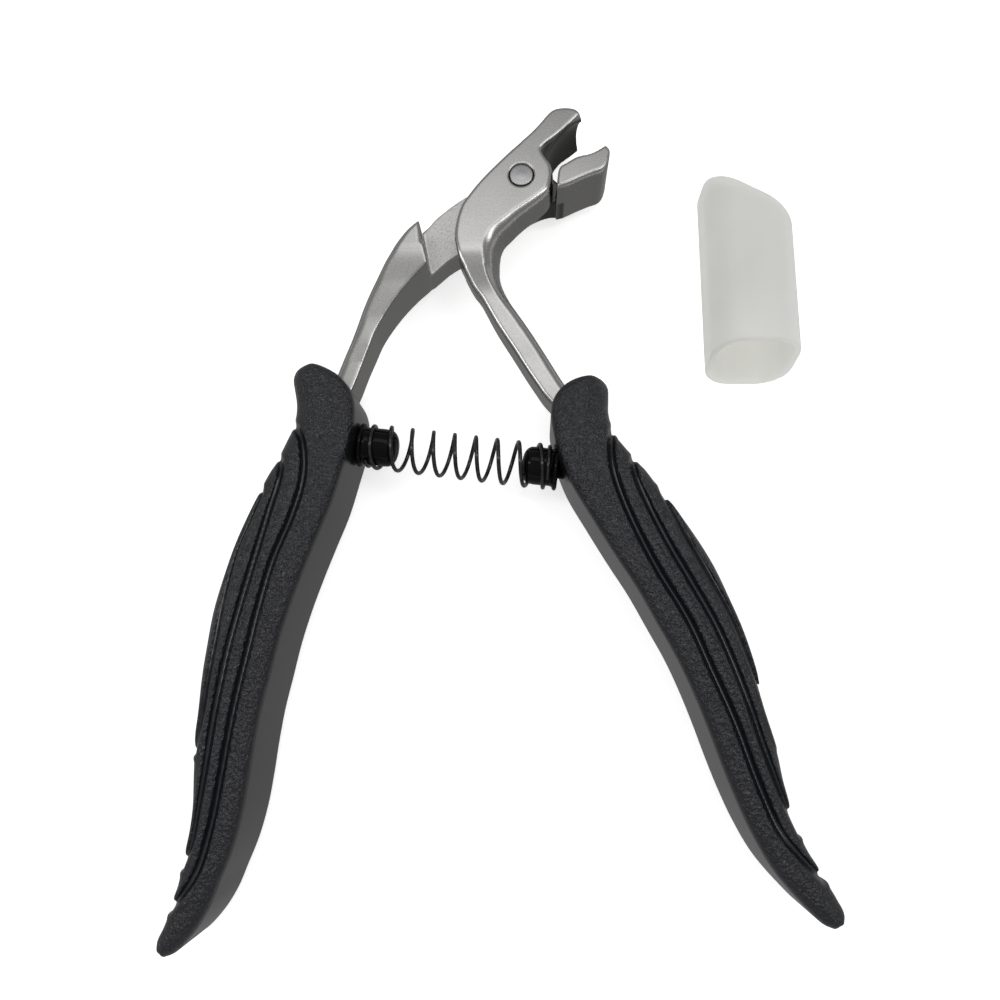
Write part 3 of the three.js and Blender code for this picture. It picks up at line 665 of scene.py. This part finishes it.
def mapping(nt, scale=(1, 1, 1), rotate=(0, 0, 0), move=(0, 0, 0)):
    tc = nt.nodes.new("ShaderNodeTexCoord")
    mp = nt.nodes.new("ShaderNodeMapping")
    mp.inputs["Scale"].default_value = scale
    mp.inputs["Rotation"].default_value = rotate
    mp.inputs["Location"].default_value = move
    nt.links.new(tc.outputs["Object"], mp.inputs["Vector"])
    return mp.outputs["Vector"]


def maths(nt, op, a, b=None, clamp=False):
    n = nt.nodes.new("ShaderNodeMath")
    n.operation = op
    n.use_clamp = clamp
    for i, v in enumerate((a, b)):
        if v is None:
            continue
        if isinstance(v, (int, float)):
            n.inputs[i].default_value = v
        else:
            nt.links.new(v, n.inputs[i])
    return n.outputs[0]


def mix(nt, fac, a, b, blend="MIX"):
    n = nt.nodes.new("ShaderNodeMix")
    n.data_type = "RGBA"
    n.blend_type = blend
    for name, v in (("Factor", fac), ("A", a), ("B", b)):
        s = [i for i in n.inputs if i.name == name and (i.type == "RGBA" if name != "Factor" else i.type == "VALUE")][0]
        if isinstance(v, (int, float)):
            s.default_value = v
        elif isinstance(v, tuple):
            s.default_value = (*v, 1)
        else:
            nt.links.new(v, s)
    return [o for o in n.outputs if o.type == "RGBA"][0]


def attribute(nt, key):
    n = nt.nodes.new("ShaderNodeAttribute")
    n.attribute_name = key
    return n.outputs["Fac"]


def bump(nt, height, strength, distance, under=None):
    n = nt.nodes.new("ShaderNodeBump")
    n.inputs["Strength"].default_value = strength
    n.inputs["Distance"].default_value = distance
    nt.links.new(height, n.inputs["Height"])
    if under is not None:
        nt.links.new(under, n.inputs["Normal"])
    return n.outputs["Normal"]


def steel(name, base, wall_shade, lap=False):
    m, nt, out = material(name)
    p = nt.nodes.new("ShaderNodeBsdfPrincipled")
    p.inputs["Metallic"].default_value = 1.0
    link(nt, p.outputs[0], out.inputs[0])
    fine = noise(nt, mapping(nt), 2600, 2, 0.5)
    cloud = noise(nt, mapping(nt), 130, 3, 0.55)
    brush = noise(nt, mapping(nt, (900, 5200, 900), (0, 0, math.radians(-46))), 1.0, 2, 0.5)
    tone = ramp(nt, cloud.outputs[0], [(0.30, tuple(c * 0.93 for c in base)), (0.70, tuple(min(1, c * 1.04) for c in base))])
    wall = attribute(nt, "wall")
    # painted shade: the steeper a face, the more its colour goes towards the second, darker colour, which stands for
    # the dimmer light on the side walls
    colour = mix(nt, maths(nt, "MULTIPLY", maths(nt, "POWER", wall, 1.1), 0.95, True), tone.outputs[0], wall_shade)
    if name.startswith("satin"):
        # painted shade: the jaw recesses are coloured near black
        colour = mix(nt, maths(nt, "MULTIPLY", attribute(nt, "hollow_shade"), 0.9, True), colour, (0.035, 0.034, 0.031))
    rough = ramp(nt, fine.outputs[0], [(0.3, (0.235,) * 3), (0.7, (0.28,) * 3)])
    height = maths(nt, "ADD", maths(nt, "MULTIPLY", fine.outputs[0], 0.5), maths(nt, "MULTIPLY", brush.outputs[0], 0.5))
    normal = bump(nt, height, 0.025, 0.00005)
    if lap:
        face = attribute(nt, "lap")
        # turned marks round the pivot and pits on the lap face
        vec = mapping(nt, (1, 1, 1), (0, 0, 0), (-PIVOT[0] * MM, -PIVOT[1] * MM, 0))
        wave = nt.nodes.new("ShaderNodeTexWave")
        wave.wave_type = "RINGS"
        wave.rings_direction = "Z"
        wave.inputs["Scale"].default_value = 700
        wave.inputs["Distortion"].default_value = 3.0
        wave.inputs["Detail"].default_value = 2.0
        wave.inputs["Detail Scale"].default_value = 2.5
        link(nt, vec, wave.inputs["Vector"])
        pits = noise(nt, mapping(nt), 3300, 3, 0.6)
        pit = ramp(nt, pits.outputs[0], [(0.27, (0.32, 0.31, 0.30)), (0.42, (0.62, 0.61, 0.60)), (0.62, (0.73, 0.72, 0.705))])
        ring = ramp(nt, wave.outputs["Fac"], [(0.2, (0.95,) * 3), (0.8, (1.0,) * 3)])
        rough_face = mix(nt, 1.0, pit.outputs[0], ring.outputs[0], "MULTIPLY")
        colour = mix(nt, face, colour, rough_face)
        rr = mix(nt, face, rough.outputs[0], (0.5, 0.5, 0.5))
        link(nt, rr, p.inputs["Roughness"])
        h2 = maths(nt, "MULTIPLY", maths(nt, "ADD", pits.outputs[0], maths(nt, "MULTIPLY", wave.outputs["Fac"], 0.1)), face)
        normal = bump(nt, h2, 0.35, 0.00008, normal)
    else:
        link(nt, rough.outputs[0], p.inputs["Roughness"])
    link(nt, colour, p.inputs["Base Color"])
    link(nt, normal, p.inputs["Normal"])
    return m


def grip_plastic():
    m, nt, out = material("grained_black_plastic")
    p = nt.nodes.new("ShaderNodeBsdfPrincipled")
    link(nt, p.outputs[0], out.inputs[0])
    p.inputs["IOR"].default_value = 1.52
    vec = mapping(nt)
    warp = noise(nt, vec, 900, 2, 0.5)
    cell = nt.nodes.new("ShaderNodeTexVoronoi")
    cell.feature = "SMOOTH_F1"
    cell.inputs["Scale"].default_value = 2300
    cell.inputs["Smoothness"].default_value = 0.6
    shifted = mix(nt, 0.0009, vec, warp.outputs["Color"], "ADD")
    link(nt, shifted, cell.inputs["Vector"])
    grain = noise(nt, vec, 2300, 3, 0.6, 0.6)
    wall = attribute(nt, "wall")
    top = maths(nt, "SUBTRACT", 1.0, maths(nt, "MULTIPLY", maths(nt, "SUBTRACT", wall, 0.35, True), 2.2, True), True)
    height = maths(nt, "ADD", maths(nt, "MULTIPLY", cell.outputs["Distance"], 0.7), maths(nt, "MULTIPLY", grain.outputs[0], 0.6))
    smooth = maths(nt, "SUBTRACT", 1.0, maths(nt, "MULTIPLY", attribute(nt, "groove"), 1.3, True), True)
    height = maths(nt, "MULTIPLY", maths(nt, "MULTIPLY", height, top), smooth)
    tone = ramp(nt, grain.outputs[0], [(0.3, (0.0035, 0.0042, 0.0062)), (0.7, (0.0085, 0.010, 0.0140))])
    link(nt, mix(nt, top, (0.006, 0.006, 0.006), tone.outputs[0]), p.inputs["Base Color"])
    link(nt, mix(nt, top, (0.80, 0.80, 0.80), (0.50, 0.50, 0.50)), p.inputs["Specular IOR Level"])
    p.inputs["Roughness"].default_value = 0.24
    link(nt, bump(nt, height, 1.0, 0.00028), p.inputs["Normal"])
    return m


def gloss_black(name, rough, base):
    m, nt, out = material(name)
    p = nt.nodes.new("ShaderNodeBsdfPrincipled")
    link(nt, p.outputs[0], out.inputs[0])
    n = noise(nt, mapping(nt), 700, 2, 0.5)
    tone = ramp(nt, n.outputs[0], [(0.3, tuple(c * 0.8 for c in base)), (0.7, tuple(c * 1.2 for c in base))])
    link(nt, tone.outputs[0], p.inputs["Base Color"])
    p.inputs["Roughness"].default_value = rough
    p.inputs["IOR"].default_value = 1.42
    p.inputs["Specular IOR Level"].default_value = 0.16
    link(nt, bump(nt, n.outputs[0], 0.25, 0.00012), p.inputs["Normal"])
    return m


def wire_steel():
    m, nt, out = material("black_spring_wire")
    p = nt.nodes.new("ShaderNodeBsdfPrincipled")
    link(nt, p.outputs[0], out.inputs[0])
    n = noise(nt, mapping(nt), 1500, 3, 0.6)
    tone = ramp(nt, n.outputs[0], [(0.35, (0.006, 0.006, 0.007)), (0.75, (0.022, 0.021, 0.023))])
    link(nt, tone.outputs[0], p.inputs["Base Color"])
    p.inputs["Metallic"].default_value = 0.0
    p.inputs["Roughness"].default_value = 0.17
    return m


def silicone():
    m, nt, out = material("milky_silicone")
    p = nt.nodes.new("ShaderNodeBsdfPrincipled")
    n = noise(nt, mapping(nt), 90, 2, 0.5)
    tone = ramp(nt, n.outputs[0], [(0.3, (0.90, 0.90, 0.875)), (0.7, (0.94, 0.94, 0.92))])
    link(nt, tone.outputs[0], p.inputs["Base Color"])
    p.inputs["Roughness"].default_value = 0.42
    p.inputs["IOR"].default_value = 1.41
    p.inputs["Subsurface Weight"].default_value = 0.0
    link(nt, bump(nt, noise(nt, mapping(nt), 1300, 2, 0.5).outputs[0], 0.12, 0.00008), p.inputs["Normal"])
    tr = nt.nodes.new("ShaderNodeBsdfTranslucent")
    link(nt, tone.outputs[0], tr.inputs["Color"])
    a = nt.nodes.new("ShaderNodeMixShader")
    a.inputs[0].default_value = 0.40
    link(nt, p.outputs[0], a.inputs[1])
    link(nt, tr.outputs[0], a.inputs[2])
    clear = nt.nodes.new("ShaderNodeBsdfTransparent")
    c = nt.nodes.new("ShaderNodeMixShader")
    c.inputs[0].default_value = 0.12
    link(nt, a.outputs[0], c.inputs[1])
    link(nt, clear.outputs[0], c.inputs[2])
    link(nt, c.outputs[0], out.inputs[0])
    return m


# the second colour of each steel is painted shade for its side walls
steel_bright = steel("satin_steel", (0.44, 0.436, 0.428), (0.30, 0.296, 0.285))
steel_lap = steel("satin_steel_lapped", (0.44, 0.436, 0.428), (0.30, 0.296, 0.285), lap=True)
rivet_mat = steel("rivet_steel_face", (0.38, 0.38, 0.38), (0.14, 0.14, 0.14))
plastic = grip_plastic()
stud_mat = gloss_black("stud_gloss_black", 0.12, (0.003, 0.003, 0.0034))
wire_mat = wire_steel()
cap_mat = silicone()


def place(ob, mat, body, slot, *nodes):
    ob.data.materials.clear()
    ob.data.materials.append(mat)
    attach(ob, body)
    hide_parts(*nodes)


place(front, steel_bright, "front_half", "steel", "front_arm")
place(rear, steel_lap, "rear_half", "steel", "rear_arm")
place(rivet, rivet_mat, "rear_half", "rivet_steel", "pivot_rivet")
place(left_grip, plastic, "rear_half", "grip_plastic", "grip_left")
place(right_grip, plastic, "front_half", "grip_plastic", "grip_right")
place(stud_l, stud_mat, "rear_half", "stud_plastic", "spring_stud_left")
place(stud_r, stud_mat, "front_half", "stud_plastic", "spring_stud_right")
place(cap_ob, cap_mat, "cap", "cap_silicone", "head_cap")
spring.data.materials.append(wire_mat)
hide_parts("return_spring")
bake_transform(spring)

# ------------------------------------------------------------------ stage, light and camera
floor_me = bpy.data.meshes.new("floor")
floor_me.from_pydata([(-3, -3, 0), (3, -3, 0), (3, 3, 0), (-3, 3, 0)], [], [(0, 1, 2, 3)])
floor = bpy.data.objects.new("floor", floor_me)
floor.location.z = -0.00003
bpy.context.scene.collection.objects.link(floor)
fm, fnt, fout = material("pale_floor")
fb = fnt.nodes.new("ShaderNodeBsdfPrincipled")
fb.inputs["Base Color"].default_value = (0.93, 0.93, 0.925, 1)
fb.inputs["Roughness"].default_value = 0.9
fb.inputs["Specular IOR Level"].default_value = 0.1
fb.inputs["Emission Color"].default_value = (1.0, 1.0, 1.0, 1)
fb.inputs["Emission Strength"].default_value = 0.66
link(fnt, fb.outputs[0], fout.inputs[0])
floor_me.materials.append(fm)
floor.visible_glossy = False

world = bpy.data.worlds.new("studio")
bpy.context.scene.world = world
world.use_nodes = True
wnt = world.node_tree
wnt.nodes.clear()
wout = wnt.nodes.new("ShaderNodeOutputWorld")
wbg = wnt.nodes.new("ShaderNodeBackground")
wtc = wnt.nodes.new("ShaderNodeTexCoord")
wsep = wnt.nodes.new("ShaderNodeSeparateXYZ")
link(wnt, wtc.outputs["Generated"], wsep.inputs[0])
wramp = ramp(wnt, wsep.outputs["Z"], [(0.0, (0.30,) * 3), (0.004, (0.80,) * 3), (0.10, (0.80,) * 3), (0.26, (0.27,) * 3), (0.86, (0.42,) * 3), (1.0, (0.46,) * 3)])
link(wnt, wramp.outputs[0], wbg.inputs["Color"])
wbg.inputs["Strength"].default_value = 1.0
link(wnt, wbg.outputs[0], wout.inputs[0])


def softbox(name, at, size, power, look=(0.0, 0.0, 0.0), colour=(1, 1, 1)):
    l = bpy.data.lights.new(name, "AREA")
    l.shape = "RECTANGLE"
    l.size, l.size_y = size
    l.energy = power
    l.color = colour
    o = bpy.data.objects.new(name, l)
    o.location = at
    o.rotation_mode = "QUATERNION"
    o.rotation_quaternion = (Vector(at) - Vector(look)).to_track_quat("Z", "Y")
    bpy.context.scene.collection.objects.link(o)
    return o


softbox("key_behind_above", (0.10, 0.36, 0.80), (0.62, 0.30), 0.76)
softbox("left_box", (-0.56, 0.08, 0.76), (0.16, 0.6), 1.5)
softbox("right_box", (0.56, 0.08, 0.76), (0.16, 0.6), 1.3)

cam_data = bpy.data.cameras.new("camera")
cam_data.lens = 28.55
cam_data.sensor_width = 36.0
cam_data.clip_start = 0.005
cam_data.clip_end = 20.0
camera = bpy.data.objects.new("camera", cam_data)
right_v = Vector((0.999027, 0.009234, -0.043116))
up_v = Vector((0.0, 0.977829, 0.209419))
back_v = Vector((0.044094, -0.209215, 0.976878))
m = Matrix((right_v, up_v, back_v)).transposed().to_4x4()
m.translation = Vector((0.0044222, -0.0246106, 0.118266))
camera.matrix_world = m
bpy.context.scene.collection.objects.link(camera)
bpy.context.scene.camera = camera
bpy.context.scene.view_settings.view_transform = "Standard"
bpy.context.scene.view_settings.look = "None"
